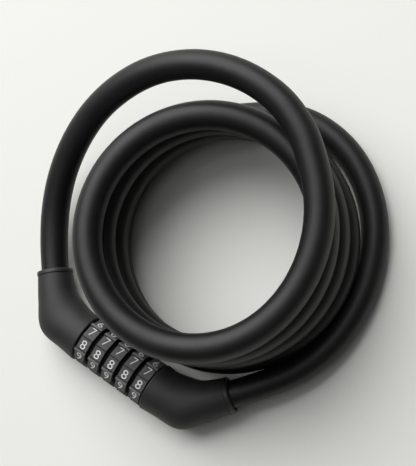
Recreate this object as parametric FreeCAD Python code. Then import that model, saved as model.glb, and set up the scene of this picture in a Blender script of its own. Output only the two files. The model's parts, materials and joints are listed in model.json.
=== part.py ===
import FreeCAD, Part
import math
import os

from FreeCAD import Vector

# A combination cable lock, in millimetres. X runs along the dials, the coil of
# cable lies on the +Y side and Z is up. The lock lies on its side on the plane
# z = 0, and its middle stands over the origin.
os.makedirs("parts", exist_ok=True)

# Cable
cable_diameter = 12.4
rope_diameter = 8.0
cable_mouth_clearance = 0.3

# Coil: turns are counted from where the top loop reaches the stack
coil_turns = 3.84
coil_start_angle = 58.0
coil_radius = 50.1
coil_pitch = 12.9
coil_last_height = 6.3
coil_centre_x = 8.5
coil_centre_y = 63.6
coil_drift_x = 1.45
coil_drift_y = 1.2
lead_in_swell = 3.6
lead_in_turns = 0.18
last_swell = 9.0
last_swell_turns = 0.8
levelling_turns = 0.25

# Route of the top loop after the left collar, chosen by eye
top_loop_exit = 15.0
top_loop_route = [
    (-71.0, 52.0, 22.0),
    (-68.0, 80.5, 36.0),
    (-54.5, 104.0, 49.0),
    (-35.0, 120.0, 56.5),
    (-16.0, 128.0, 58.5),
    (1.5, 129.5, 57.5),
]
top_loop_last_run = 15.0

# Route of the outer turn, from under the stack to the right collar
outer_turn_first_run = 18.2
outer_turn_route = [
    (36.0, 132.6, 6.3),
    (62.2, 114.0, 6.3),
    (74.0, 87.5, 6.3),
    (76.4, 57.6, 7.1),
    (69.1, 34.7, 9.0),
]
outer_turn_last_run = 13.8

# Dials
dial_count = 5
digits_per_dial = 10
dial_pitch = 7.9
dial_width = 6.3
face_width = 5.5
dial_core_radius = 9.9
dial_corner_radius = 11.0
rib_radius = 11.25
rib_width = 1.25
groove_width = 0.5
groove_depth = 0.4
rib_chamfer = 0.25
first_corner_angle = -5.5
spacer_radius = 9.4
side_gap = 0.1

# Locking rings and what they turn on
locking_ring_radius = 8.0
ring_seat_clearance = 0.05
ring_key_width = 1.6
ring_key_height = 0.6
gate_width = 3.2
gate_radius = 6.6
scallop_radius = 0.9
scallop_depth = 0.35
spindle_radius = 5.0
running_clearance = 0.05
spindle_root = 12.0
spindle_nose = 3.0
spindle_slot_width = 3.3

# Bolt
bolt_radius = 3.5
bolt_clearance = 0.1
tooth_width = 1.2
tooth_breadth = 3.0
tooth_radius = 6.4
bolt_tip_length = 1.8
bolt_root = 14.0

# Leaf that clicks the dials into place
leaf_width = 2.4
leaf_thickness = 0.4
leaf_floor_radius = 4.2
finger_length = 3.0
finger_top_clearance = 0.03
finger_thickness = 0.35

# Washers that hold the dials on the spindle
spring_washer_thickness = 0.4
end_washer_thickness = 1.0
end_washer_radius = 8.4
retaining_ring_thickness = 0.8
retaining_ring_radius = 6.3
retaining_groove_depth = 0.5

# Housings: a cover moulded over a cast insert, bent at one corner
housing_radius = 11.4
housing_gap = 0.4
housing_corner_x = 36.0
housing_bend = 48.5
bend_radius = 28.0
elbow_bulge = 2.6
elbow_steps = 8
leg_length = 22.7
cover_wall = 1.8
cover_edge_chamfer = 0.4
recess_radius = 8.8
recess_depth = 3.5
tooth_pocket_length = 2.5

# Collars and cable ends
collar_wall = 1.8
collar_length = 2.2
collar_edge_radius = 0.5
collar_seam = 0.2
spigot_wall = 0.7
spigot_length = 3.0
cable_inset = 8.5
ferrule_wall = 1.0
ferrule_length = 6.5
pin_radius = 1.2
pin_half_length = 5.6
spindle_pin_depth = 7.5
bolt_pin_depth = 9.0

full_turn = 360.0

# Sizes that follow from the cable
cable_radius = cable_diameter / 2
mouth_radius = cable_radius + cable_mouth_clearance
collar_radius = mouth_radius + collar_wall
spigot_radius = mouth_radius + spigot_wall
leg_end_radius = collar_radius - collar_seam
ferrule_radius = rope_diameter / 2 + ferrule_wall

# The lock rests on its two housings, and its box is centred on the origin
axis_z = housing_radius
bend_angle = math.radians(housing_bend)
collar_reach = leg_length * math.sin(bend_angle) + collar_radius * math.cos(bend_angle)
axis_y = -(collar_reach - housing_radius) / 2
pack_half = (dial_count - 1) / 2 * dial_pitch + dial_width / 2
housing_face = pack_half + housing_gap
bend_tangent = bend_radius * math.tan(bend_angle / 2)
spindle_bore = bolt_radius + bolt_clearance
ring_bore = spindle_radius + running_clearance
far = 200.0

left = -1
right = 1


# Straight runs, and shapes along the dial axis

def run(start, end):
    return Part.LineSegment(start, end).toShape()


def rod(radius, x0, x1):
    start = Vector(x0, axis_y, axis_z)
    return Part.makeCylinder(radius, x1 - x0, start, Vector(1, 0, 0))


def tube(outer, inner, x0, x1):
    return rod(outer, x0, x1).cut(rod(inner, x0 - 1, x1 + 1))


def slot(x0, x1, breadth, inner, outer, angle=0.0):
    """A block standing on the axis, from one radius to another, turned from straight up."""
    block = Part.makeBox(x1 - x0, breadth, outer - inner, Vector(x0, axis_y - breadth / 2, axis_z + inner))
    block.rotate(Vector(0, axis_y, axis_z), Vector(1, 0, 0), angle)
    return block


def dial_centre(n):
    return (n - (dial_count - 1) / 2) * dial_pitch


# Housing line: straight from the dials, round one corner, straight to the collar

first_straight = housing_corner_x - bend_tangent - housing_face
bend_length = bend_radius * bend_angle
line_length = first_straight + bend_length + leg_length - bend_tangent
cover_length = line_length - collar_length
cable_seat = line_length - cable_inset


def housing_point(side, along):
    """The point and direction of a housing's line at a distance from its face."""
    if along <= first_straight:
        x, y, turn = housing_face + along, 0.0, 0.0
    elif along <= first_straight + bend_length:
        turn = (along - first_straight) / bend_radius
        x = housing_face + first_straight + bend_radius * math.sin(turn)
        y = bend_radius * (1 - math.cos(turn))
    else:
        turn = bend_angle
        past = along - first_straight - bend_length + bend_tangent
        x = housing_corner_x + past * math.cos(turn)
        y = past * math.sin(turn)
    point = Vector(side * x, axis_y + y, axis_z)
    return point, Vector(side * math.cos(turn), math.sin(turn), 0)


def housing_radius_at(along):
    return housing_radius + (leg_end_radius - housing_radius) * along / cover_length


def elbow_swell(along):
    """How much wider than round the housing is on the outside of its bend."""
    off_middle = abs((along - first_straight) / bend_length * 2 - 1)
    return elbow_bulge * ((1 + math.cos(math.pi * min(off_middle, 1))) / 2) ** 1.5


def housing_ring(side, along, inward):
    """A section square to the housing's line, with its seam on the inside of the bend."""
    point, heading = housing_point(side, along)
    inner = Vector(0, 0, 1).cross(heading) * side
    radius = housing_radius_at(along) - inward
    swell = elbow_swell(along) / 2
    if swell > 0.001:
        section = Part.Ellipse(Vector(0, 0, 0), radius + swell, radius).toShape()
    else:
        section = Part.Circle(Vector(0, 0, 0), Vector(0, 0, 1), radius).toShape()
    turn = FreeCAD.Rotation(inner, Vector(0, 0, 0), heading, "ZXY")
    section.Placement = FreeCAD.Placement(point - inner * swell, turn)
    return Part.Wire(section)


def housing_body(side, start, end, inward):
    """A tapered body along the housing's line, a set distance inside its surface."""
    bend_end = first_straight + bend_length
    stops = [start, first_straight, first_straight + bend_length / 2, bend_end, end]
    a, b, c, d, e = [housing_point(side, along)[0] for along in stops]
    line = Part.Wire([run(a, b), Part.Arc(b, c, d).toShape(), run(d, e)])
    shell = Part.BRepOffsetAPI.MakePipeShell(line)
    sections = [start] + [first_straight + bend_length * k / elbow_steps for k in range(elbow_steps + 1)]
    if end - bend_end > bend_length / elbow_steps:
        sections.append((bend_end + end) / 2)
    for along in sections + [end]:
        shell.add(housing_ring(side, along, inward))
    shell.build()
    shell.makeSolid()
    return shell.shape()


def leg_point(side, along):
    """A point of the leg's own straight line, measured along the housing's line."""
    mouth, heading = housing_point(side, line_length)
    return mouth - heading * (line_length - along), heading


def leg_rod(side, radius, start, end):
    point, heading = leg_point(side, start)
    return Part.makeCylinder(radius, end - start, point, heading)


def upright_pin(centre, half_length):
    foot = Vector(centre.x, centre.y, centre.z - half_length)
    return Part.makeCylinder(pin_radius, 2 * half_length, foot, Vector(0, 0, 1))


def ferrule_pin(side):
    centre = leg_point(side, cable_seat - ferrule_length / 2)[0]
    return upright_pin(centre, pin_half_length)


def edge_cut(side):
    """What a chamfer takes off the rim of a cover that faces the dials."""
    x = side * housing_face
    points = [
        Vector(x, axis_y, axis_z + housing_radius - cover_edge_chamfer),
        Vector(x, axis_y, axis_z + housing_radius + cover_edge_chamfer),
        Vector(x + side * 2 * cover_edge_chamfer, axis_y, axis_z + housing_radius + cover_edge_chamfer),
    ]
    face = Part.Face(Part.makePolygon(points + points[:1]))
    return face.revolve(Vector(0, axis_y, axis_z), Vector(1, 0, 0), full_turn)


# Lock pieces

def cover(side):
    body = housing_body(side, 0, cover_length, 0)
    body = body.cut(edge_cut(side))
    x0 = side * (housing_face + recess_depth)
    recess = rod(recess_radius, min(x0, side * (housing_face - 1)), max(x0, side * (housing_face - 1)))
    body = body.cut(recess)
    body = body.cut(housing_body(side, recess_depth, cable_seat, cover_wall))
    body = body.cut(leg_rod(side, mouth_radius, cable_seat - 0.01, line_length))
    return body.cut(leg_rod(side, spigot_radius, cover_length - spigot_length, line_length))


def insert(side):
    body = housing_body(side, recess_depth, cable_seat, cover_wall)
    body = body.cut(leg_rod(side, ferrule_radius, cable_seat - ferrule_length, line_length))
    body = body.cut(ferrule_pin(side))
    if side == left:
        body = body.fuse(rod(recess_radius, -housing_face - recess_depth, -pack_half - running_clearance))
        body = body.cut(slot(-housing_face - tooth_pocket_length, 0, gate_width, 0, gate_radius))
        body = body.cut(rod(spindle_radius, -housing_face - spindle_root, 0))
        return body.cut(spindle_pin()).removeSplitter()
    body = body.cut(rod(bolt_radius, 0, housing_face + bolt_root))
    return body.cut(bolt_pin())


def collar(side):
    ring = leg_rod(side, collar_radius, cover_length, line_length)
    front = housing_point(side, line_length)[0]
    rims = [e for e in ring.Edges if e.Curve.TypeId == "Part::GeomCircle"]
    rim = min(rims, key=lambda e: (e.Curve.Center - front).Length)
    ring = ring.makeFillet(collar_edge_radius, [rim])
    seam = leg_rod(side, collar_radius + 1, cover_length - 1, cover_length + collar_seam)
    ring = ring.cut(seam.cut(leg_rod(side, leg_end_radius - collar_seam, cover_length - 2, line_length)))
    ring = ring.fuse(leg_rod(side, spigot_radius, cover_length - spigot_length, cover_length + collar_seam))
    ring = ring.cut(leg_rod(side, mouth_radius, cover_length - spigot_length - 1, line_length + 1))
    return ring.removeSplitter()


def ferrule(side):
    body = leg_rod(side, ferrule_radius, cable_seat - ferrule_length, cable_seat)
    body = body.cut(leg_rod(side, rope_diameter / 2, cable_seat - ferrule_length - 1, cable_seat + 1))
    return body.cut(ferrule_pin(side))


def rope_end(side):
    body = leg_rod(side, rope_diameter / 2, cable_seat - ferrule_length, cable_seat)
    return body.cut(ferrule_pin(side))


def spindle_pin():
    centre = Vector(-housing_face - spindle_pin_depth, axis_y, axis_z)
    return upright_pin(centre, pin_half_length)


def bolt_pin():
    centre = Vector(housing_face + bolt_pin_depth, axis_y, axis_z)
    return upright_pin(centre, pin_half_length)


washer_start = pack_half + running_clearance
end_washer_start = washer_start + spring_washer_thickness + running_clearance
retaining_start = end_washer_start + end_washer_thickness + running_clearance


def spindle():
    nose = housing_face + spindle_nose
    body = tube(spindle_radius, spindle_bore, -housing_face - spindle_root, nose)
    first_tooth = dial_centre(0) - dial_pitch / 2 - tooth_width / 2
    body = body.cut(slot(first_tooth - side_gap * 4, nose + 1, spindle_slot_width, 0, far / 10))
    leaf_bed = slot(-pack_half, pack_half, leaf_width + 2 * running_clearance, leaf_floor_radius, far / 10, 180)
    body = body.cut(leaf_bed)
    groove = tube(spindle_radius + 1, spindle_radius - retaining_groove_depth,
                  retaining_start, retaining_start + retaining_ring_thickness)
    body = body.cut(groove)
    return body.cut(spindle_pin())


def bolt():
    first_tooth = dial_centre(0) - dial_pitch / 2
    body = rod(bolt_radius, first_tooth - tooth_width / 2 - bolt_tip_length, housing_face + bolt_root)
    for n in range(dial_count):
        x = first_tooth + n * dial_pitch
        body = body.fuse(slot(x - tooth_width / 2, x + tooth_width / 2, tooth_breadth, 0, tooth_radius))
    return body.removeSplitter().cut(bolt_pin())


def detent_leaf():
    strip = slot(-pack_half, pack_half, leaf_width, leaf_floor_radius, leaf_floor_radius + leaf_thickness, 180)
    top = ring_bore - finger_top_clearance
    for n in range(dial_count):
        x = dial_centre(n)
        strip = strip.fuse(slot(x - finger_length / 2, x + finger_length / 2, finger_thickness * 2,
                                leaf_floor_radius, top - finger_thickness / 2, 180))
    crowns = rod(top, -pack_half, pack_half)
    return strip.common(crowns).removeSplitter()


def gated_ring(outer, x0, x1):
    """A washer on the spindle with the gate that lets the bolt's teeth through."""
    return tube(outer, ring_bore, x0, x1).cut(slot(x0 - 1, x1 + 1, gate_width, 0, gate_radius))


def spacers():
    rings = []
    for n in range(dial_count - 1):
        x0 = dial_centre(n) + dial_width / 2 + side_gap
        rings.append(gated_ring(spacer_radius, x0, x0 + dial_pitch - dial_width - 2 * side_gap))
    return Part.makeCompound(rings)


def spring_washer():
    return gated_ring(recess_radius - 1, washer_start, washer_start + spring_washer_thickness)


def end_washer():
    return gated_ring(end_washer_radius, end_washer_start, end_washer_start + end_washer_thickness)


def retaining_ring():
    x1 = retaining_start + retaining_ring_thickness
    ring = tube(retaining_ring_radius, spindle_radius - retaining_groove_depth, retaining_start, x1)
    return ring.cut(slot(retaining_start - 1, x1 + 1, gate_width, 0, far / 10))


def locking_ring(n):
    x0 = dial_centre(n) - dial_width / 2
    x1 = x0 + dial_width
    ring = gated_ring(locking_ring_radius, x0, x1)
    for k in range(digits_per_dial):
        angle = full_turn * (k + 0.5) / digits_per_dial
        reach = ring_bore + scallop_depth - scallop_radius
        notch = rod(scallop_radius, x0 - 1, x1 + 1)
        notch.translate(Vector(0, 0, reach))
        notch.rotate(Vector(0, axis_y, axis_z), Vector(1, 0, 0), angle)
        ring = ring.cut(notch)
    key = slot(x0, x1, ring_key_width, locking_ring_radius - 0.5, locking_ring_radius + ring_key_height, 180)
    return ring.fuse(key).removeSplitter()


def dial(n):
    """A ten-sided ring: ribs and grooves take turns at its corners."""
    x0 = dial_centre(n) - dial_width / 2
    x1 = x0 + dial_width
    step = full_turn / digits_per_dial
    face_start = dial_centre(n) - face_width / 2
    corners = []
    for k in range(digits_per_dial + 1):
        angle = math.radians(first_corner_angle + step * k)
        corners.append(Vector(face_start, axis_y - dial_corner_radius * math.sin(angle),
                              axis_z + dial_corner_radius * math.cos(angle)))
    body = Part.Face(Part.makePolygon(corners)).extrude(Vector(face_width, 0, 0))
    body = body.fuse(rod(dial_core_radius, x0, x1))
    for k in range(digits_per_dial):
        angle = first_corner_angle + step * k
        if k % 2:
            body = body.fuse(slot(x0, x1, rib_width, locking_ring_radius + 1, rib_radius, angle))
        else:
            body = body.cut(slot(x0 - 1, x1 + 1, groove_width, dial_corner_radius - groove_depth, far / 10, angle))
    side = [
        Vector(x0, axis_y, axis_z),
        Vector(x0, axis_y, axis_z + rib_radius - rib_chamfer),
        Vector(x0 + rib_chamfer, axis_y, axis_z + rib_radius),
        Vector(x1 - rib_chamfer, axis_y, axis_z + rib_radius),
        Vector(x1, axis_y, axis_z + rib_radius - rib_chamfer),
        Vector(x1, axis_y, axis_z),
    ]
    turned = Part.Face(Part.makePolygon(side + side[:1])).revolve(Vector(0, axis_y, axis_z), Vector(1, 0, 0), full_turn)
    body = body.common(turned)
    body = body.cut(rod(locking_ring_radius + ring_seat_clearance, x0 - 1, x1 + 1))
    keyway = slot(x0 - 1, x1 + 1, ring_key_width + 2 * ring_seat_clearance, locking_ring_radius - 1,
                  locking_ring_radius + ring_key_height + ring_seat_clearance, 180)
    return body.cut(keyway).removeSplitter()


# Cable

def smooth_step(u):
    u = min(max(u, 0.0), 1.0)
    return u * u * (3 - 2 * u)


def coil_point(turns):
    """A point of the coil's middle line, some turns after its start."""
    angle = math.radians(coil_start_angle - full_turn * turns)
    still_to_go = coil_turns - turns
    lead_in = max(0.0, 1 - turns / lead_in_turns) ** 2
    radius = coil_radius + lead_in_swell * lead_in
    radius += last_swell * smooth_step(1 - still_to_go / last_swell_turns)
    levels_out = still_to_go < levelling_turns
    climb = still_to_go ** 2 / 2 / levelling_turns if levels_out else still_to_go - levelling_turns / 2
    return Vector(
        coil_centre_x + coil_drift_x * turns + radius * math.cos(angle),
        coil_centre_y + coil_drift_y * turns + radius * math.sin(angle),
        coil_last_height + coil_pitch * climb,
    )


def coil_heading(turns):
    step = 0.002
    return (coil_point(turns + step) - coil_point(turns - step)).normalize()


def arc_at_corner(start, corner, end):
    """The arc that touches both lines of a corner at equal distances from it."""
    middle = (start + end) * 0.5
    half_chord = (end - start).Length / 2
    rise = corner - middle
    slope = math.atan2(rise.Length, half_chord)
    top = middle + rise * (half_chord * math.tan(slope / 2) / rise.Length)
    radius = half_chord / math.sin(slope)
    return Part.Arc(start, top, end).toShape(), radius


def biarc(start, start_heading, end, end_heading):
    """Two arcs that leave one point and reach another along given headings."""
    chord = end - start
    a = 2 * (1 - start_heading.dot(end_heading))
    b = 2 * chord.dot(start_heading + end_heading)
    reach = (-b + math.sqrt(b * b + 4 * a * chord.dot(chord))) / (2 * a)
    corner_a = start + start_heading * reach
    corner_b = end - end_heading * reach
    joint = (corner_a + corner_b) * 0.5
    first, radius_a = arc_at_corner(start, corner_a, joint)
    second, radius_b = arc_at_corner(joint, corner_b, end)
    return [first, second], min(radius_a, radius_b)


def pipe(edges, name, radii):
    path = Part.Wire(edges)
    start = edges[0].valueAt(edges[0].FirstParameter)
    heading = edges[0].tangentAt(edges[0].FirstParameter)
    section = Part.Wire(Part.makeCircle(cable_radius, start, heading))
    body = path.makePipeShell([section], True, False)
    expected = math.pi * cable_radius ** 2 * path.Length
    print(name, "length", round(path.Length, 1), "volume ratio", round(body.Volume / expected, 4),
          "radii", " ".join(str(round(r)) for r in radii))
    return body


def rounded_route(points):
    """Straight runs joined by arcs as large as the runs beside them allow."""
    edges, radii = [], []
    last = points[0]
    for before, corner, after in zip(points, points[1:], points[2:]):
        back = (before - corner).normalize()
        on = (after - corner).normalize()
        reach = 0.45 * min((before - corner).Length, (after - corner).Length)
        arc, radius = arc_at_corner(corner + back * reach, corner, corner + on * reach)
        edges += [run(last, corner + back * reach), arc]
        radii.append(radius)
        last = corner + on * reach
    return edges + [run(last, points[-1])], radii


coil_head = coil_point(0) - coil_heading(0) * cable_diameter
coil_tail = coil_point(coil_turns) + coil_heading(coil_turns) * cable_diameter


def top_loop():
    """From the left collar, up and round the outside, to the top of the coil."""
    points = [leg_point(left, cable_seat)[0], leg_point(left, line_length + top_loop_exit)[0]]
    points += [Vector(*p) for p in top_loop_route]
    points += [coil_head - coil_heading(0) * top_loop_last_run, coil_head]
    return rounded_route(points)


def coil():
    """The stacked turns, each on four pairs of arcs or more, with a straight length at both ends."""
    edges = [run(coil_head, coil_point(0))]
    radii = []
    pairs = math.ceil(coil_turns * 4)
    stops = [coil_turns * k / pairs for k in range(pairs + 1)]
    for t0, t1 in zip(stops, stops[1:]):
        arcs, radius = biarc(coil_point(t0), coil_heading(t0), coil_point(t1), coil_heading(t1))
        edges += arcs
        radii.append(radius)
    return edges + [run(coil_point(coil_turns), coil_tail)], radii


def outer_turn():
    """The loose turn round the foot of the coil, from under the stack to the right collar."""
    points = [coil_tail, coil_tail + coil_heading(coil_turns) * outer_turn_first_run]
    points += [Vector(*p) for p in outer_turn_route]
    points += [leg_point(right, line_length + outer_turn_last_run)[0], leg_point(right, cable_seat)[0]]
    return rounded_route(points)


def spots(edges):
    """Points along a middle line, a few millimetres apart."""
    found = []
    for edge in edges:
        found += edge.discretize(max(2, math.ceil(edge.Length / 3)))[:-1]
    return found


def least_gap(line, other):
    return min((a - b).Length for a in spots(line) for b in spots(other)) - cable_diameter


def least_gap_to_itself(line):
    """The smallest gap between stretches of one tube that lie over half a turn apart."""
    points = spots(line)
    apart = math.ceil(len(points) / coil_turns / 2)
    pairs = [(a, b) for i, a in enumerate(points) for b in points[i + apart:]]
    return min((a - b).Length for a, b in pairs) - cable_diameter


top_loop_line, top_loop_radii = top_loop()
coil_line, coil_radii = coil()
outer_turn_line, outer_turn_radii = outer_turn()
print("least gap of the coil to itself", round(least_gap_to_itself(coil_line), 2))
print("least gap of the outer turn to the coil", round(least_gap(outer_turn_line[1:], coil_line[:-6]), 2))
print("least gap of the top loop to the coil", round(least_gap(top_loop_line[:-1], coil_line[6:]), 2))

# Every piece by name

pieces = {
    "left_cover": cover(left),
    "right_cover": cover(right),
    "left_insert": insert(left),
    "right_insert": insert(right),
    "left_collar": collar(left),
    "right_collar": collar(right),
    "left_ferrule": ferrule(left),
    "right_ferrule": ferrule(right),
    "left_ferrule_pin": ferrule_pin(left),
    "right_ferrule_pin": ferrule_pin(right),
    "left_rope_end": rope_end(left),
    "right_rope_end": rope_end(right),
    "spindle_tube": spindle(),
    "spindle_pin": spindle_pin(),
    "bolt": bolt(),
    "bolt_pin": bolt_pin(),
    "detent_leaf": detent_leaf(),
    "dial_spacers": spacers(),
    "spring_washer": spring_washer(),
    "end_washer": end_washer(),
    "retaining_ring": retaining_ring(),
    "cable_top_loop": pipe(top_loop_line, "top loop", top_loop_radii),
    "cable_coil": pipe(coil_line, "coil", coil_radii),
    "cable_outer_turn": pipe(outer_turn_line, "outer turn", outer_turn_radii),
}
for n in range(dial_count):
    pieces["dial_%d" % (n + 1)] = dial(n)
    pieces["locking_ring_%d" % (n + 1)] = locking_ring(n)

for name, shape in pieces.items():
    if not shape.isValid():
        print("not valid:", name)
    shape.exportStep("parts/%s.step" % name)
print(len(pieces), "pieces, dial axis at y", round(axis_y, 3), "z", axis_z)
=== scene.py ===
import bpy
import json
import math
from mathutils import Matrix, Vector


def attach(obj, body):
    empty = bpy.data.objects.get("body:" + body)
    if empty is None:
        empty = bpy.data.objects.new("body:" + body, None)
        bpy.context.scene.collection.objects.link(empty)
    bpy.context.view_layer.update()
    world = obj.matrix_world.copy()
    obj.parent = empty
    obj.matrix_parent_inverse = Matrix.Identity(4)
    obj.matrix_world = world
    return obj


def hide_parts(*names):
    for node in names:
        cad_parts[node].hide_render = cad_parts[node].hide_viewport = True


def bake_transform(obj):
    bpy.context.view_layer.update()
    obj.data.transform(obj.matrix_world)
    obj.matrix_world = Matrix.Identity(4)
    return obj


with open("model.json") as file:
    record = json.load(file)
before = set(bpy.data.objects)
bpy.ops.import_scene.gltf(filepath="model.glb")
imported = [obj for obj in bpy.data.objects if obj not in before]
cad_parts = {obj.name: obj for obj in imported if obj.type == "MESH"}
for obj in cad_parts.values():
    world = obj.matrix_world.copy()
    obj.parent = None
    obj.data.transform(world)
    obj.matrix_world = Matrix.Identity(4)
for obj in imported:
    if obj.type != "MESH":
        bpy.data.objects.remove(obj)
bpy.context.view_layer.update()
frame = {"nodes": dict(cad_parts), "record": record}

# Lengths are in metres, in the solids' own place: X along the dials, Y towards the coil, Z up
head = {
    "axisY": -0.0055505,
    "axisZ": 0.0114,
    "faceX": 0.01935,                  # where a housing begins, next to the outermost dial
    "cornerX": 0.036,                  # where the two straight parts of its line would meet
    "bend": math.radians(48.5),
    "bendRadius": 0.028,
    "legLength": 0.0227,               # from that corner to the mouth for the cable
}


# Shader maths: an expression on signals adds its Math nodes to the material

class Signal:
    def __init__(self, paint, socket):
        self.paint = paint
        self.socket = socket

    def maths(self, operation, *values):
        return self.paint.add("ShaderNodeMath", {"operation": operation}, dict(enumerate(values)))

    def parts(self):
        return [self.paint.add("ShaderNodeSeparateXYZ", {}, {"Vector": self}, axis) for axis in "XYZ"]

    def __add__(self, other):
        return self.maths("ADD", self, other)

    def __radd__(self, other):
        return self.maths("ADD", other, self)

    def __sub__(self, other):
        return self.maths("SUBTRACT", self, other)

    def __rsub__(self, other):
        return self.maths("SUBTRACT", other, self)

    def __mul__(self, other):
        return self.maths("MULTIPLY", self, other)

    def __rmul__(self, other):
        return self.maths("MULTIPLY", other, self)

    def __truediv__(self, other):
        return self.maths("DIVIDE", self, other)

    def __rtruediv__(self, other):
        return self.maths("DIVIDE", other, self)

    def __abs__(self):
        return self.maths("ABSOLUTE", self)

    def clamped(self):
        return self.maths("MAXIMUM", self.maths("MINIMUM", self, 1.0), 0.0)

    def between(self, low, high):
        return ((self - low) / (high - low)).clamped()

    def below(self, low, high):
        return 1 - self.between(low, high)


class Paint:
    def __init__(self, owner):
        self.owner = owner
        owner.use_nodes = True
        self.tree = owner.node_tree
        self.tree.nodes.clear()

    def add(self, kind, settings, inputs, output=0):
        node = self.tree.nodes.new(kind)
        for key, value in settings.items():
            setattr(node, key, value)
        for key, value in inputs.items():
            if isinstance(value, Signal):
                self.tree.links.new(value.socket, node.inputs[key])
            else:
                node.inputs[key].default_value = value
        return Signal(self, node.outputs[output]) if len(node.outputs) else None

    @property
    def place(self):
        return self.add("ShaderNodeTexCoord", {}, {}, "Object")

    @property
    def facing(self):
        return self.add("ShaderNodeTexCoord", {}, {}, "Normal")

    def noise(self, scale, detail, roughness, place=None):
        return self.add("ShaderNodeTexNoise", {}, {"Vector": place or self.place, "Scale": scale,
                                                   "Detail": detail, "Roughness": roughness})

    def mix(self, factor, first, second):
        return self.add("ShaderNodeMix", {"data_type": "RGBA"}, {0: factor, 6: first, 7: second}, 2)

    def bump(self, height, distance, normal=None):
        inputs = {"Height": height, "Strength": 1.0, "Distance": distance}
        if normal is not None:
            inputs["Normal"] = normal
        return self.add("ShaderNodeBump", {}, inputs)

    def finish(self, inputs):
        shader = self.add("ShaderNodeBsdfPrincipled", {}, inputs)
        self.add("ShaderNodeOutputMaterial", {}, {"Surface": shader})
        return self.owner


def grey(level, warmth=0.0):
    return (level * (1 + warmth), level, level * (1 - warmth), 1.0)


# Materials. Each Noise entry is a pattern's scale, detail and roughness, each Range entry is where
# a pattern starts and ends to show, and each Rough entry is how much it changes the roughness.

sheath = {
    "colour": 0.0042,
    "cloud": 0.0066,
    "dust": 0.05,
    "dustWarmth": 0.03,
    "dustShare": 0.3,
    "roughness": 0.49,
    "cloudRough": 0.16,
    "skinRough": 0.10,
    "dustRough": 0.1,
    "specular": 0.45,
    "cloudNoise": (55.0, 5.0, 0.6),
    "skinNoise": (700.0, 3.0, 0.6),
    "dustNoise": (2600.0, 1.0, 0.4),
    "cloudRange": (0.3, 0.75),
    "dustRange": (0.69, 0.79),
    "dustyCloudRange": (0.42, 0.7),
    "waveDepth": 0.00015,
    "poreDepth": 0.000012,
}


def makeSheath():
    paint = Paint(bpy.data.materials.new("cableSheath"))
    cloud = paint.noise(*sheath["cloudNoise"])
    skin = paint.noise(*sheath["skinNoise"])
    dust = paint.noise(*sheath["dustNoise"]).between(*sheath["dustRange"])
    dust = dust * cloud.between(*sheath["dustyCloudRange"])
    tone = paint.mix(cloud.between(*sheath["cloudRange"]), grey(sheath["colour"]), grey(sheath["cloud"]))
    tone = paint.mix(dust * sheath["dustShare"], tone, grey(sheath["dust"], sheath["dustWarmth"]))
    rough = sheath["roughness"] + (cloud - 0.5) * sheath["cloudRough"]
    rough = rough + (skin - 0.5) * sheath["skinRough"] + dust * sheath["dustRough"]
    waves = paint.bump(cloud, sheath["waveDepth"])
    return paint.finish({"Base Color": tone, "Roughness": rough.clamped(),
                         "Normal": paint.bump(skin, sheath["poreDepth"], waves),
                         "Specular IOR Level": sheath["specular"]})


moulding = {
    "colour": 0.016,
    "cloud": 0.023,
    "worn": 0.045,
    "wornShare": 0.35,
    "cloudRough": 0.14,
    "grainRough": 0.10,
    "wornRough": -0.08,
    "grainNoise": (6120.0, 2.0, 0.6),
    "cloudNoise": (90.0, 4.0, 0.6),
    "wornNoise": (380.0, 4.0, 0.7),
    "cloudRange": (0.3, 0.72),
    "wornRange": (0.62, 0.80),
    "wornCloudRange": (0.45, 0.7),
    "sparkScale": 3600.0,
    "sparkSmoothness": 0.6,
    "sparkShare": 0.6,                 # of the relief, and the grain makes the rest
    "reliefDepth": 0.00003,
}

# What sets one moulding apart: its lightness and relief are shares of the values above
mouldings = {
    "coverPlastic": {"lightness": 1.0, "roughness": 0.6, "relief": 1.0, "specular": 0.5},
    "collarPlastic": {"lightness": 1.15, "roughness": 0.5, "relief": 0.6, "specular": 0.5},
    "spacerPlastic": {"lightness": 0.2, "roughness": 0.8, "relief": 1.0, "specular": 0.08},
}


def makeMoulding(name):
    own = mouldings[name]
    paint = Paint(bpy.data.materials.new(name))
    spark = paint.add("ShaderNodeTexVoronoi", {"feature": "SMOOTH_F1"},
                      {"Vector": paint.place, "Scale": moulding["sparkScale"],
                       "Smoothness": moulding["sparkSmoothness"]})
    grain = paint.noise(*moulding["grainNoise"])
    cloud = paint.noise(*moulding["cloudNoise"])
    worn = paint.noise(*moulding["wornNoise"]).between(*moulding["wornRange"])
    worn = worn * cloud.between(*moulding["wornCloudRange"])
    colours = [grey(moulding[key] * own["lightness"]) for key in ("colour", "cloud", "worn")]
    tone = paint.mix(cloud.between(*moulding["cloudRange"]), colours[0], colours[1])
    tone = paint.mix(worn * moulding["wornShare"], tone, colours[2])
    rough = own["roughness"] + (cloud - 0.5) * moulding["cloudRough"]
    rough = rough + (grain - 0.5) * moulding["grainRough"] + worn * moulding["wornRough"]
    relief = spark * moulding["sparkShare"] + grain * (1 - moulding["sparkShare"])
    return paint.finish({"Base Color": tone, "Roughness": rough.clamped(),
                         "Normal": paint.bump(relief, moulding["reliefDepth"] * own["relief"]),
                         "Specular IOR Level": own["specular"]})


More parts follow.
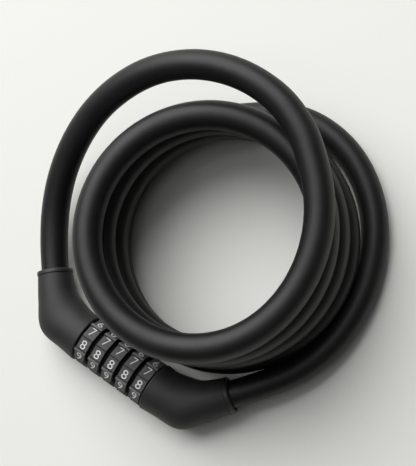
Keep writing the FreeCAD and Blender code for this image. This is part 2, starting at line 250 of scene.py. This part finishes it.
# The dials' sizes stand here because their finish follows the ribs and grooves: a painted highlight on the
# ribs and painted shade in the grooves
dials = {
    "count": 5,
    "pitch": 0.0079,
    "places": 10,
    "width": 0.0063,
    "faceWidth": 0.0055,
    "innerShare": 0.6,                 # of a face's width, between its two inner rows of points
    "cornerRadius": 0.011,
    "ribRadius": 0.01135,
    "ribWidth": 0.00125,
    "ribShoulder": 0.0002,             # slope at the ends of a rib
    "footWidth": 0.00025,              # step at the foot of a rib
    "footDepth": 0.00015,
    "coreRadius": 0.0099,
    "grooveWidth": 0.0006,
    "grooveDepth": 0.00045,
    "grooveFloor": 0.8,                # of that width
    "bore": 0.00805,
    "firstCorner": -8.0,               # turn of the groove next to the eight, in degrees
    "faceSteps": 7,
    "ribSteps": 2,
    "weld": 0.000004,
    "edge": 0.00012,
    "edgeSteps": 2,
    "edgeAngle": 32.0,
    "smoothAngle": 30.0,
}
placeStep = 360 / dials["places"]

# The Edge entries are how far from its middle line a painted highlight or painted shade line begins and
# ends to fade
dialFinish = {
    "colour": 0.066,
    "cloud": 0.092,
    "fleck": 0.30,
    "fleckShare": 0.25,
    # painted highlight: the lighter tone drawn on the rib crests
    "rib": 0.19,
    # painted shade: the near-black drawn in the grooves, at the ribs' feet and on the flanks that face the
    # next dial
    "paintedShade": 0.001,
    "roughness": 0.62,
    "grainRough": 0.25,
    "fleckRough": -0.1,
    "specular": 0.5,
    "grainNoise": (2600.0, 3.0, 0.7),
    "cloudNoise": (420.0, 3.0, 0.6),
    "fleckNoise": (1900.0, 2.0, 0.65),
    "cloudRange": (0.3, 0.7),
    "fleckRange": (0.60, 0.70),
    "ribHighlightEdge": (0.00050, 0.00062),
    "grooveShadeEdge": (0.00022, 0.00042),
    "footShadowEdge": (0.00014, 0.00026),
    # where the painted shadow line at a rib's foot lies
    "footFromRib": 0.00082,
    # painted shade on the flanks that face the next dial, by how far the surface faces along the axis
    "sideShadeRange": (0.35, 0.6),          # share of the surface's direction that lies along the axis
    "grainDepth": 0.00006,
}


def makeDialPlastic():
    paint = Paint(bpy.data.materials.new("dialPlastic"))
    grain = paint.noise(*dialFinish["grainNoise"])
    cloud = paint.noise(*dialFinish["cloudNoise"])
    fleck = paint.noise(*dialFinish["fleckNoise"]).between(*dialFinish["fleckRange"])
    tone = paint.mix(cloud.between(*dialFinish["cloudRange"]), grey(dialFinish["colour"]),
                     grey(dialFinish["cloud"]))
    tone = paint.mix(fleck * dialFinish["fleckShare"], tone, grey(dialFinish["fleck"]))
    _, back, up = paint.place.parts()
    turn = up.maths("ARCTAN2", head["axisY"] - back, up - head["axisZ"])
    step = math.radians(placeStep)
    fromGroove = turn.maths("PINGPONG", turn - math.radians(dials["firstCorner"]), step)
    fromGroove = fromGroove * dials["cornerRadius"]
    fromRib = step * dials["cornerRadius"] - fromGroove
    # Painted highlight: the rib crests are drawn lighter
    tone = paint.mix(fromRib.below(*dialFinish["ribHighlightEdge"]), tone, grey(dialFinish["rib"]))
    # Painted shade: dark lines drawn in the grooves, and a painted shadow line along each rib's foot
    lines = fromGroove.below(*dialFinish["grooveShadeEdge"])
    lines = lines + abs(fromRib - dialFinish["footFromRib"]).below(*dialFinish["footShadowEdge"])
    # Painted shade: the flanks that face the next dial are drawn dark, in place of the shadow between the
    # dials
    sideShade = abs(paint.facing.parts()[0]).between(*dialFinish["sideShadeRange"])
    tone = paint.mix((lines + sideShade).clamped(), tone, grey(dialFinish["paintedShade"]))
    rough = dialFinish["roughness"] + (grain - 0.5) * dialFinish["grainRough"]
    rough = rough + fleck * dialFinish["fleckRough"]
    return paint.finish({"Base Color": tone, "Roughness": rough.clamped(),
                         "Normal": paint.bump(grain, dialFinish["grainDepth"]),
                         "Specular IOR Level": dialFinish["specular"]})


numeralPaint = {
    "colour": 0.86,
    "cloud": 0.72,
    "warmth": 0.01,
    "chip": 0.35,
    "chipShare": 0.35,
    "roughness": 0.45,
    "cloudRough": 0.2,
    "cloudNoise": (900.0, 3.0, 0.6),
    "chipNoise": (3300.0, 2.0, 0.6),
    "chipRange": (0.60, 0.72),
    "chipDepth": 0.00003,
}


def makeNumeralPaint():
    paint = Paint(bpy.data.materials.new("numeralPaint"))
    cloud = paint.noise(*numeralPaint["cloudNoise"])
    chips = paint.noise(*numeralPaint["chipNoise"]).between(*numeralPaint["chipRange"])
    white, dull = [grey(numeralPaint[key], numeralPaint["warmth"]) for key in ("colour", "cloud")]
    tone = paint.mix(cloud, white, dull)
    tone = paint.mix(chips * numeralPaint["chipShare"], tone, grey(numeralPaint["chip"]))
    rough = numeralPaint["roughness"] + (cloud - 0.5) * numeralPaint["cloudRough"]
    return paint.finish({"Base Color": tone, "Roughness": rough.clamped(),
                         "Normal": paint.bump(chips, numeralPaint["chipDepth"])})


castMetal = {
    "colour": 0.36,
    "cloud": 0.25,
    "roughness": 0.52,
    "cloudRough": 0.2,
    "skinRough": 0.15,
    "metallic": 0.9,
    "skinNoise": (1400.0, 4.0, 0.65),
    "cloudNoise": (160.0, 4.0, 0.6),
    "cloudRange": (0.3, 0.7),
    "skinDepth": 0.00005,
}


def makeCastMetal():
    paint = Paint(bpy.data.materials.new("castMetal"))
    skin = paint.noise(*castMetal["skinNoise"])
    cloud = paint.noise(*castMetal["cloudNoise"])
    tone = paint.mix(cloud.between(*castMetal["cloudRange"]), grey(castMetal["colour"]),
                     grey(castMetal["cloud"]))
    rough = castMetal["roughness"] + (cloud - 0.5) * castMetal["cloudRough"]
    rough = rough + (skin - 0.5) * castMetal["skinRough"]
    return paint.finish({"Base Color": tone, "Roughness": rough.clamped(),
                         "Metallic": castMetal["metallic"],
                         "Normal": paint.bump(skin, castMetal["skinDepth"])})


turnedMetal = {
    "dullShare": 0.7,
    "lineShare": 0.6,
    "cloudShare": 0.3,
    "lineRough": 0.2,
    "lineNoise": (900.0, 3.0, 0.6),
    "cloudNoise": (150.0, 2.0, 0.5),
    "lineDepth": 0.00002,
}


def makeTurnedMetal(name, colour, roughness, stretch):
    paint = Paint(bpy.data.materials.new(name))
    along = paint.add("ShaderNodeMapping", {}, {"Vector": paint.place, "Scale": stretch})
    lines = paint.noise(*turnedMetal["lineNoise"], along)
    cloud = paint.noise(*turnedMetal["cloudNoise"])
    dull = tuple(turnedMetal["dullShare"] * c for c in colour)
    marks = (lines * turnedMetal["lineShare"] + cloud * turnedMetal["cloudShare"]).clamped()
    tone = paint.mix(marks, (*colour, 1.0), (*dull, 1.0))
    rough = roughness + (lines - 0.5) * turnedMetal["lineRough"]
    return paint.finish({"Base Color": tone, "Roughness": rough.clamped(), "Metallic": 1.0,
                         "Normal": paint.bump(lines, turnedMetal["lineDepth"])})


# One finish for each of the record's material slots
finishes = {
    "cable_sheath": makeSheath(),
    "cover_plastic": makeMoulding("coverPlastic"),
    "collar_plastic": makeMoulding("collarPlastic"),
    "dial_plastic": makeDialPlastic(),
    "spacer_plastic": makeMoulding("spacerPlastic"),
    "numeral_paint": makeNumeralPaint(),
    "cast_metal": makeCastMetal(),
    "steel": makeTurnedMetal("platedSteel", (0.6, 0.6, 0.61), 0.3, (6.0, 0.4, 0.4)),
    "locking_ring_metal": makeTurnedMetal("ringBrass", (0.62, 0.47, 0.22), 0.35, (6.0, 0.5, 0.5)),
    "rope_steel": makeTurnedMetal("ropeSteel", (0.5, 0.5, 0.5), 0.4, (1.0, 4.0, 4.0)),
}
nodeSlots = {row["node"]: row["material_slot"] for row in frame["record"]["subparts"]}
for nodeName, node in frame["nodes"].items():
    node.data.materials.clear()
    node.data.materials.append(finishes[nodeSlots[nodeName]])
print("materials ready:", len(finishes))


# Helpers for pieces

def addObject(name, data):
    thing = bpy.data.objects.new(name, data)
    bpy.context.scene.collection.objects.link(thing)
    return thing


def addMesh(name, mesh, slot, smoothAngle=35.0):
    mesh.name = name
    mesh.polygons.foreach_set("use_smooth", [True] * len(mesh.polygons))
    mesh.set_sharp_from_angle(angle=math.radians(smoothAngle))
    mesh.materials.clear()
    mesh.materials.append(finishes[slot])
    return addObject(name, mesh)


def addPiece(name, points, faces, slot):
    mesh = bpy.data.meshes.new(name)
    mesh.from_pydata([tuple(p) for p in points], [], faces)
    mesh.validate()
    return addMesh(name, mesh, slot)


def asMesh(thing):
    bpy.context.view_layer.update()
    graph = bpy.context.evaluated_depsgraph_get()
    return bpy.data.meshes.new_from_object(thing.evaluated_get(graph))


def faceOutwards(mesh):
    volume = 0.0
    for face in mesh.polygons:
        a = mesh.vertices[face.vertices[0]].co
        for j, k in zip(face.vertices[1:], face.vertices[2:]):
            volume += a.dot(mesh.vertices[j].co.cross(mesh.vertices[k].co))
    if volume < 0:
        mesh.flip_normals()


def settle(piece, body, slot, *nodes):
    if nodes:
        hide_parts(*nodes)
    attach(piece, body)


# The line of a housing: straight from the dials, round one bend, straight to the cable

tangentLength = head["bendRadius"] * math.tan(head["bend"] / 2)
firstStraight = head["cornerX"] - tangentLength - head["faceX"]
bendLength = head["bendRadius"] * head["bend"]
lineLength = firstStraight + bendLength + head["legLength"] - tangentLength


def housingPoint(side, along):
    if along <= firstStraight:
        x, y, turn = head["faceX"] + along, 0.0, 0.0
    elif along <= firstStraight + bendLength:
        turn = (along - firstStraight) / head["bendRadius"]
        x = head["faceX"] + firstStraight + head["bendRadius"] * math.sin(turn)
        y = head["bendRadius"] * (1 - math.cos(turn))
    else:
        turn = head["bend"]
        past = along - firstStraight - bendLength + tangentLength
        x = head["cornerX"] + past * math.cos(turn)
        y = past * math.sin(turn)
    point = Vector((side * x, head["axisY"] + y, head["axisZ"]))
    return point, Vector((side * math.cos(turn), math.sin(turn), 0))


def mouthPoint(side, beyond=0.0):
    point, heading = housingPoint(side, lineLength)
    return point + heading * beyond


# Cable: one cord up to the end of the stacked turns, and one on to the right housing

cable = {
    "diameter": 0.0124,
    "fuller": 1.05,                    # drawn thickness of the top loop and the first turn, as a share
    "fullerTurns": 1.0,
    "fadingTurns": 2.0,                # over which it comes down to the diameter
    "inset": 0.0085,                   # how deep its ends go into the housings
    "turns": 3.84,
    "startAngle": 63.8,
    "radius": 0.0506,
    "growth": 0.00058,                 # how much wider each turn lies than the one above
    "pitch": 0.0129,
    "lastHeight": 0.0063,
    "centre": (0.0073, 0.0638),
    "drift": (0.0018, 0.00127),        # of the centre, for each turn
    "leadInSwell": 0.0071,             # how much wider the first turn starts
    "leadInTurns": 0.21,
    "lastSwell": 0.0061,               # how much wider the last turn ends
    "lastSwellTurns": 0.69,
    "levellingTurns": 0.25,            # over which the last turn comes down flat
    "headingStep": 0.002,
    "pointsPerTurn": 20,
    "stepsPerPoint": 12,
    "roundSteps": 8,
    "smoothAngle": 60.0,
    "topLoopExit": 0.015,
    "topLoop": [
        (-0.0720, 0.0517, 0.0202),
        (-0.0692, 0.0817, 0.0338),
        (-0.0557, 0.1057, 0.0449),
        (-0.0372, 0.1211, 0.0512),
        (-0.0156, 0.1290, 0.0541),
        (0.0065, 0.1291, 0.0549),
    ],
    "outerTurnFirstRun": 0.0145,
    "outerTurn": [
        (0.0358, 0.1306, 0.0063),
        (0.0605, 0.1127, 0.0063),
        (0.0735, 0.0869, 0.0063),
        (0.0765, 0.0606, 0.0074),
        (0.0711, 0.0385, 0.0093),
    ],
    "outerTurnLastRun": 0.0103,
    "followsLockBefore": (0.07, 0.12, 0.01),
    "followsBoltAfter": (0.07, 0.02, 0.01),
}


def smoothStep(u):
    u = min(max(u, 0.0), 1.0)
    return u * u * (3 - 2 * u)


def coilPoint(turns):
    angle = math.radians(cable["startAngle"] - 360 * turns)
    left = cable["turns"] - turns
    leadIn = max(0.0, 1 - turns / cable["leadInTurns"])
    radius = cable["radius"] + cable["growth"] * turns + cable["leadInSwell"] * leadIn ** 2
    radius += cable["lastSwell"] * smoothStep(1 - left / cable["lastSwellTurns"])
    level = cable["levellingTurns"]
    climb = left ** 2 / 2 / level if left < level else left - level / 2
    x = cable["centre"][0] + cable["drift"][0] * turns + radius * math.cos(angle)
    y = cable["centre"][1] + cable["drift"][1] * turns + radius * math.sin(angle)
    return Vector((x, y, cable["lastHeight"] + cable["pitch"] * climb))


def coilHeading(turns):
    step = cable["headingStep"]
    return (coilPoint(turns + step) - coilPoint(turns - step)).normalized()


def splineCurve(name, points, bevel, shares=None):
    curve = bpy.data.curves.new(name, "CURVE")
    curve.dimensions = "3D"
    spline = curve.splines.new("NURBS")
    spline.points.add(len(points) - 1)
    for spot, point, share in zip(spline.points, points, shares or [1.0] * len(points)):
        spot.co = (*point, 1.0)
        spot.radius = share
    spline.order_u = 3
    spline.use_endpoint_u = True
    spline.resolution_u = cable["stepsPerPoint"]
    curve.resolution_u = cable["stepsPerPoint"]
    curve.render_resolution_u = cable["stepsPerPoint"]
    curve.bevel_depth = bevel
    curve.bevel_resolution = cable["roundSteps"]
    curve.use_fill_caps = True
    curve.materials.append(finishes["cable_sheath"])
    return addObject(name, curve)


def meshOfCurve(name, points, bevel):
    curve = splineCurve(name, points, bevel)
    mesh = asMesh(curve)
    bpy.data.objects.remove(curve)
    return mesh


def splinePoints(points):
    return [v.co.copy() for v in meshOfCurve("cableLine", points, 0.0).vertices]


def lengthOf(points):
    return sum((b - a).length for a, b in zip(points, points[1:]))


def thickness(turns):
    fading = smoothStep((turns - cable["fullerTurns"]) / cable["fadingTurns"])
    return 1 + (cable["fuller"] - 1) * (1 - fading)


def makeMainCable():
    count = math.ceil(cable["turns"] * cable["pointsPerTurn"])
    turns = [cable["turns"] * k / count for k in range(count + 1)]
    straight = cable["diameter"]
    points = [mouthPoint(-1, -cable["inset"]), mouthPoint(-1, cable["topLoopExit"])]
    points += [Vector(p) for p in cable["topLoop"]]
    points.append(coilPoint(0) - coilHeading(0) * straight)
    shares = [1.0] + [cable["fuller"]] * (len(points) - 1)
    shares += [thickness(t) for t in turns] + [1.0]
    points += [coilPoint(t) for t in turns]
    points.append(coilPoint(cable["turns"]) + coilHeading(cable["turns"]) * straight)
    piece = splineCurve("cableTopLoopAndCoil", points, cable["diameter"] / 2, shares)
    length = lengthOf(splinePoints(points))
    print("main cable", round(length, 4), "m")
    settle(piece, "lock_body", "cable_sheath", "cable_top_loop", "cable_coil")
    mouthPoint(-1)
    return points[-1]


def makeOuterTurn(start):
    points = [start, start + coilHeading(cable["turns"]) * cable["outerTurnFirstRun"]]
    points += [Vector(p) for p in cable["outerTurn"]]
    points += [mouthPoint(1, cable["outerTurnLastRun"]), mouthPoint(1, -cable["inset"])]
    path = splinePoints(points)
    mesh = meshOfCurve("outerTurnTube", points, cable["diameter"] / 2)
    piece = addMesh("cableOuterTurn", mesh, "cable_sheath", cable["smoothAngle"])
    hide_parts("cable_outer_turn")
    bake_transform(piece)


makeOuterTurn(makeMainCable())
print("cable ready")


# Housings: closed shells of rings along the housing's line

housing = {
    "radius": 0.0114,
    "mouthRadius": 0.0081,
    "bulge": 0.0026,                   # how far the elbow's outer side stands out
    "fill": 0.0011,                    # how far its inner side stands in
    "wall": 0.0018,
    "wallShare": 0.98,                 # the drawn wall, as a share of the solids'
    "rimRound": 0.0006,
    "rimSteps": 5,
    "recessRadius": 0.00885,           # the opening round the dials' spindle
    "recessDepth": 0.0035,
    "recessEdge": 0.0003,
    "socketRadius": 0.00725,           # the bore that the collar's sleeve goes into
    "socketLength": 0.003,
    "cableHole": 0.00652,
    "collarLength": 0.0022,
    "around": 72,
    "along": 64,
    "alongInside": 16,
}
coverLength = lineLength - housing["collarLength"]
cableSeat = lineLength - cable["inset"]


def housingRadius(along):
    return housing["radius"] + (housing["mouthRadius"] - housing["radius"]) * along / coverLength


def elbowShare(along, reach):
    offMiddle = abs(along - firstStraight - bendLength / 2) / reach
    return (1 + math.cos(math.pi * min(offMiddle, 1))) / 2


def housingRing(side, along, inward):
    point, heading = housingPoint(side, along)
    inner = Vector((0, 0, 1)).cross(heading) * side
    bulge = housing["bulge"] / 2 * elbowShare(along, bendLength / 2) ** 1.5
    fill = housing["fill"] / 2 * elbowShare(along, firstStraight + bendLength / 2)
    radius = housingRadius(along) - inward
    ring = []
    for k in range(housing["around"]):
        angle = 2 * math.pi * k / housing["around"] * side
        across = inner * ((radius + bulge + fill) * math.cos(angle) + fill - bulge)
        ring.append(point + across + Vector((0, 0, radius * math.sin(angle))))
    return ring


def ringOfRadius(side, along, radius):
    return housingRing(side, along, housingRadius(along) - radius)


def ringsToPiece(name, rings, slot):
    size = len(rings[0])
    points = [p for ring in rings for p in ring]
    faces = []
    for i in range(len(rings)):
        a, b = i * size, (i + 1) % len(rings) * size
        faces += [(a + k, a + (k + 1) % size, b + (k + 1) % size, b + k) for k in range(size)]
    piece = addPiece(name, points, faces, slot)
    faceOutwards(piece.data)
    return piece


def makeCover(side, name, node, body):
    rim = housing["rimRound"]
    socketFloor = coverLength - housing["socketLength"]
    rings = []
    for k in range(housing["rimSteps"] + 1):
        angle = math.pi / 2 * k / housing["rimSteps"]
        rings.append(housingRing(side, rim * (1 - math.cos(angle)), rim * (1 - math.sin(angle))))
    for k in range(1, housing["along"] + 1):
        rings.append(housingRing(side, rim + (coverLength - rim) * k / housing["along"], 0.0))
    rings.append(ringOfRadius(side, coverLength, housing["socketRadius"]))
    rings.append(ringOfRadius(side, socketFloor, housing["socketRadius"]))
    rings.append(ringOfRadius(side, socketFloor, housing["cableHole"]))
    rings.append(ringOfRadius(side, cableSeat, housing["cableHole"]))
    for k in range(housing["alongInside"] + 1):
        along = cableSeat + (housing["recessDepth"] - cableSeat) * k / housing["alongInside"]
        rings.append(housingRing(side, along, housing["wall"] * housing["wallShare"]))
    rings.append(ringOfRadius(side, housing["recessDepth"], housing["recessRadius"]))
    rings.append(ringOfRadius(side, housing["recessEdge"], housing["recessRadius"]))
    rings.append(ringOfRadius(side, 0.0, housing["recessRadius"] + housing["recessEdge"]))
    piece = ringsToPiece(name, rings, "cover_plastic")
    settle(piece, body, "cover_plastic", node)


# Each collar's outline: distance past the cover's end, and radius
collarOutline = {
    "leftCollar": [
        (0.0000, 0.00780), (0.00022, 0.00782), (0.00030, 0.00825), (0.00045, 0.00837), (0.00150, 0.00837),
        (0.00185, 0.00827), (0.00208, 0.00805), (0.00220, 0.00770), (0.00220, 0.00685), (0.00206, 0.00660),
        (0.00180, 0.00652), (-0.0031, 0.00652), (-0.0031, 0.00720), (0.0000, 0.00720),
    ],
    "rightCollar": [
        (0.0000, 0.00785), (0.00014, 0.00786), (0.00020, 0.00808), (0.00032, 0.00818), (0.00140, 0.00821),
        (0.00172, 0.00811), (0.00198, 0.00788), (0.00214, 0.00757), (0.00220, 0.00718), (0.00212, 0.00672),
        (0.00180, 0.00652), (-0.0031, 0.00652), (-0.0031, 0.00720), (0.0000, 0.00720),
    ],
}


def makeCollar(side, name, node, body):
    rings = [ringOfRadius(side, coverLength + past, radius) for past, radius in collarOutline[name]]
    piece = ringsToPiece(name, rings, "collar_plastic")
    settle(piece, body, "collar_plastic", node)


makeCover(-1, "leftCover", "left_cover", "lock_body")
makeCover(1, "rightCover", "right_cover", "bolt_body")
makeCollar(-1, "leftCollar", "left_collar", "lock_body")
makeCollar(1, "rightCollar", "right_collar", "bolt_body")
print("housings ready")


# Dials: a wedge of two places, with a groove in its middle and half a rib at each end, is a mesh,
# and Geometry Nodes sets as many as a dial needs round the axis

def dialPlace(n):
    x = (n - (dials["count"] - 1) / 2) * dials["pitch"]
    return Matrix.Translation((x, head["axisY"], head["axisZ"]))


def wedgeSection():
    # For half a wedge: the angle from the groove, the radius, and whether the point is on a face
    step = math.radians(placeStep)
    flat = dials["cornerRadius"] * math.cos(step / 2)
    groove = dials["grooveWidth"] / 2 / dials["cornerRadius"]
    rib = dials["ribWidth"] / 2 / dials["ribRadius"]
    foot = dials["footWidth"] / dials["cornerRadius"]
    deep = dials["cornerRadius"] - dials["grooveDepth"]
    half = [(0.0, deep, True), (groove * dials["grooveFloor"], deep, True)]
    for k in range(dials["faceSteps"] + 1):
        angle = groove + (step - rib - foot - groove) * k / dials["faceSteps"]
        half.append((angle, flat / math.cos(angle - step / 2), True))
    half.append((step - rib, dials["cornerRadius"] - dials["footDepth"], True))
    for k in range(dials["ribSteps"] + 1):
        angle = step - rib * (1 - k / dials["ribSteps"])
        half.append((angle, dials["ribRadius"] * math.cos(rib) / math.cos(angle - step), False))
    return half


def wedgeMesh():
    half = wedgeSection()
    whole = [(-angle, radius, isFace) for angle, radius, isFace in reversed(half[1:])] + half
    end = dials["width"] / 2
    points, faces = [], []
    for angle, radius, isFace in whole:
        core = dials["coreRadius"] if isFace else radius - dials["ribShoulder"]
        top = dials["faceWidth"] / 2 if isFace else end - dials["ribShoulder"]
        right = [(0, radius), (top * dials["innerShare"], radius), (top, radius)]
        right += [(end, core), (end, dials["bore"])]
        outline = [(-x, r) for x, r in reversed(right[1:])] + right
        points += [(x, -r * math.sin(angle), r * math.cos(angle)) for x, r in outline]
    size = len(outline)
    for i in range(len(whole) - 1):
        for k in range(size):
            a, b = i * size + k, i * size + (k + 1) % size
            faces.append((a, b, b + size, a + size))
    mesh = bpy.data.meshes.new("dialWedge")
    mesh.from_pydata(points, [], faces)
    return mesh


def dialTree():
    tree = bpy.data.node_groups.new("dialFromWedges", "GeometryNodeTree")

    def socket(name, way, kind):
        return tree.interface.new_socket(name, in_out=way, socket_type=kind).identifier

    def node(kind, inputs, settings=()):
        made = tree.nodes.new(kind)
        for key, value in dict(settings).items():
            setattr(made, key, value)
        for key, value in inputs.items():
            if hasattr(value, "is_output"):
                tree.links.new(value, made.inputs[key])
            else:
                made.inputs[key].default_value = value
        return made

    socket("Geometry", "INPUT", "NodeSocketGeometry")
    wedges = socket("Wedges", "INPUT", "NodeSocketInt")
    turn = socket("First groove", "INPUT", "NodeSocketFloat")
    finish = socket("Material", "INPUT", "NodeSocketMaterial")
    socket("Geometry", "OUTPUT", "NodeSocketGeometry")
    given = node("NodeGroupInput", {}).outputs
    line = node("GeometryNodeMeshLine", {"Count": given["Wedges"], "Offset": (0, 0, 0)})
    share = node("ShaderNodeMath", {0: math.tau, 1: given["Wedges"]}, {"operation": "DIVIDE"})
    index = node("GeometryNodeInputIndex", {})
    angle = node("ShaderNodeMath", {0: index.outputs[0], 1: share.outputs[0], 2: given["First groove"]},
                 {"operation": "MULTIPLY_ADD"})
    turned = node("ShaderNodeCombineXYZ", {"X": angle.outputs[0]})
    placed = node("GeometryNodeInstanceOnPoints",
                  {"Points": line.outputs[0], "Instance": given["Geometry"], "Rotation": turned.outputs[0]})
    real = node("GeometryNodeRealizeInstances", {"Geometry": placed.outputs[0]})
    joined = node("GeometryNodeMergeByDistance", {"Geometry": real.outputs[0], "Distance": dials["weld"]})
    painted = node("GeometryNodeSetMaterial",
                   {"Geometry": joined.outputs[0], "Material": given["Material"]})
    node("NodeGroupOutput", {"Geometry": painted.outputs[0]})
    return tree, wedges, turn, finish


def makeDials():
    tree, wedges, turn, finish = dialTree()
    wedge = addObject("dialWedge", wedgeMesh())
    ring = wedge.modifiers.new("ring", "NODES")
    ring.node_group = tree
    ring[wedges] = dials["places"] // 2
    ring[turn] = math.radians(dials["firstCorner"])
    ring[finish] = finishes["dial_plastic"]
    edges = wedge.modifiers.new("edges", "BEVEL")
    edges.width = dials["edge"]
    edges.segments = dials["edgeSteps"]
    edges.limit_method = "ANGLE"
    edges.angle_limit = math.radians(dials["edgeAngle"])
    for n in range(dials["count"]):
        mesh = asMesh(wedge)
        mesh.transform(dialPlace(n))
        piece = addMesh("dialShell%d" % (n + 1), mesh, "dial_plastic", dials["smoothAngle"])
        faceOutwards(piece.data)
        settle(piece, "dial_body_%d" % (n + 1), "dial_plastic", "dial_%d" % (n + 1))
    bpy.data.objects.remove(wedge)


makeDials()
print("dials ready")


# Numerals: the nought stands after the nine, and eight faces up next to the first groove

numerals = {
    "size": 0.0061,
    "depth": 0.00005,
    "lift": 0.00002,
    "roundSteps": 6,
    "faceUp": 8,
    "thinner": 0.00002,                # how far a digit's outline is drawn in
    "ownThinner": {7: 0.00009, 8: 0.00001},
    "higher": {7: 0.0004},             # how far a digit stands above its face's middle
}


def digitMesh(digit):
    text = bpy.data.curves.new("digit", "FONT")
    text.body = str(digit)
    text.size = numerals["size"]
    text.align_x = "CENTER"
    text.align_y = "CENTER"
    text.extrude = numerals["depth"]
    text.offset = -numerals["ownThinner"].get(digit, numerals["thinner"])
    text.resolution_u = numerals["roundSteps"]
    holder = addObject("digit", text)
    mesh = asMesh(holder)
    bpy.data.objects.remove(holder)
    box = [v.co for v in mesh.vertices]
    middleX = (min(p.x for p in box) + max(p.x for p in box)) / 2
    middleY = (min(p.y for p in box) + max(p.y for p in box)) / 2
    mesh.transform(Matrix.Translation((-middleX, numerals["higher"].get(digit, 0.0) - middleY, 0)))
    return mesh


def makeNumerals():
    flat = dials["cornerRadius"] * math.cos(math.radians(placeStep / 2)) + numerals["lift"]
    digits = [digitMesh(d) for d in range(dials["places"])]
    for n in range(dials["count"]):
        points, faces = [], []
        for digit, mesh in enumerate(digits):
            angle = dials["firstCorner"] + placeStep * (digit - numerals["faceUp"] + 0.5)
            turn = Matrix.Rotation(math.radians(angle), 4, "X")
            place = dialPlace(n) @ turn @ Matrix.Translation((0, 0, flat))
            start = len(points)
            points += [place @ v.co for v in mesh.vertices]
            faces += [[start + i for i in face.vertices] for face in mesh.polygons]
        piece = addPiece("numerals%d" % (n + 1), points, faces, "numeral_paint")
        settle(piece, "dial_body_%d" % (n + 1), "numeral_paint")


makeNumerals()
print("numerals ready")


# Floor, light and camera

studio = {
    "floorColour": (0.862, 0.868, 0.825, 1.0),
    "floorRoughness": 0.6,
    "floorReach": 3,
    "surround": 0.055,                 # strength of the even light from all around
    "seenSurround": 0.9,               # and of what the camera sees in its place
    "mirroredSurround": 0.09,          # and of what is seen in a gloss
    "lampTarget": (0.0, 0.06, 0.01),
    "lampDistance": 3.0,
    "keyLamp": (152.0, 45.0, 3.8, 133.0),    # turn and height in degrees, size, power in watts
    "topLamp": (180.0, 74.0, 3.8, 21.0),
}


def makeFloor():
    reach = studio["floorReach"]
    mesh = bpy.data.meshes.new("floor")
    mesh.from_pydata([(-reach, -reach, 0), (reach, -reach, 0), (reach, reach, 0), (-reach, reach, 0)], [],
                     [(0, 1, 2, 3)])
    paint = Paint(bpy.data.materials.new("floorPaint"))
    mesh.materials.append(paint.finish({"Base Color": studio["floorColour"],
                                        "Roughness": studio["floorRoughness"]}))
    addObject("floor", mesh)


def makeLamp(name):
    turn, height, size, power = studio[name]
    lamp = bpy.data.lights.new(name, "AREA")
    lamp.shape = "DISK"
    lamp.size = size
    lamp.energy = power
    turn, height = math.radians(turn), math.radians(height)
    way = Vector((math.cos(height) * math.cos(turn), math.cos(height) * math.sin(turn), math.sin(height)))
    holder = addObject(name, lamp)
    holder.location = Vector(studio["lampTarget"]) + way * studio["lampDistance"]
    holder.rotation_euler = (-way).to_track_quat("-Z", "Y").to_euler()


def makeSurround():
    world = bpy.data.worlds.new("surround")
    bpy.context.scene.world = world
    paint = Paint(world)
    direct = paint.add("ShaderNodeLightPath", {}, {}, "Is Camera Ray")
    through = paint.add("ShaderNodeLightPath", {}, {}, "Is Transmission Ray")
    mirrored = paint.add("ShaderNodeLightPath", {}, {}, "Is Glossy Ray")
    seen = (direct + through).clamped() * (studio["seenSurround"] - studio["surround"])
    strength = seen + mirrored * (studio["mirroredSurround"] - studio["surround"]) + studio["surround"]
    glow = paint.add("ShaderNodeBackground", {}, {"Strength": strength})
    paint.add("ShaderNodeOutputWorld", {}, {"Surface": glow})


view = {
    "place": (0.1594, 0.0705, 0.529),
    "target": (0.0054, 0.0651, 0.025),
    "right": (0.800, 0.546, -0.250),   # the direction that points right in the picture
    "lens": 103.846,
    "sensor": 36.0,
    "nearest": 0.01,
}


def makeCamera():
    lens = bpy.data.cameras.new("camera")
    lens.lens = view["lens"]
    lens.sensor_width = view["sensor"]
    lens.sensor_fit = "HORIZONTAL"
    lens.clip_start = view["nearest"]
    back = (Vector(view["place"]) - Vector(view["target"])).normalized()
    right = Vector(view["right"])
    right = (right - back * right.dot(back)).normalized()
    turn = Matrix((right, back.cross(right), back)).transposed().to_4x4()
    camera = addObject("camera", lens)
    camera.matrix_world = Matrix.Translation(view["place"]) @ turn
    bpy.context.scene.camera = camera


makeFloor()
makeLamp("keyLamp")
makeLamp("topLamp")
makeSurround()
makeCamera()
bpy.context.scene.view_settings.view_transform = "Standard"
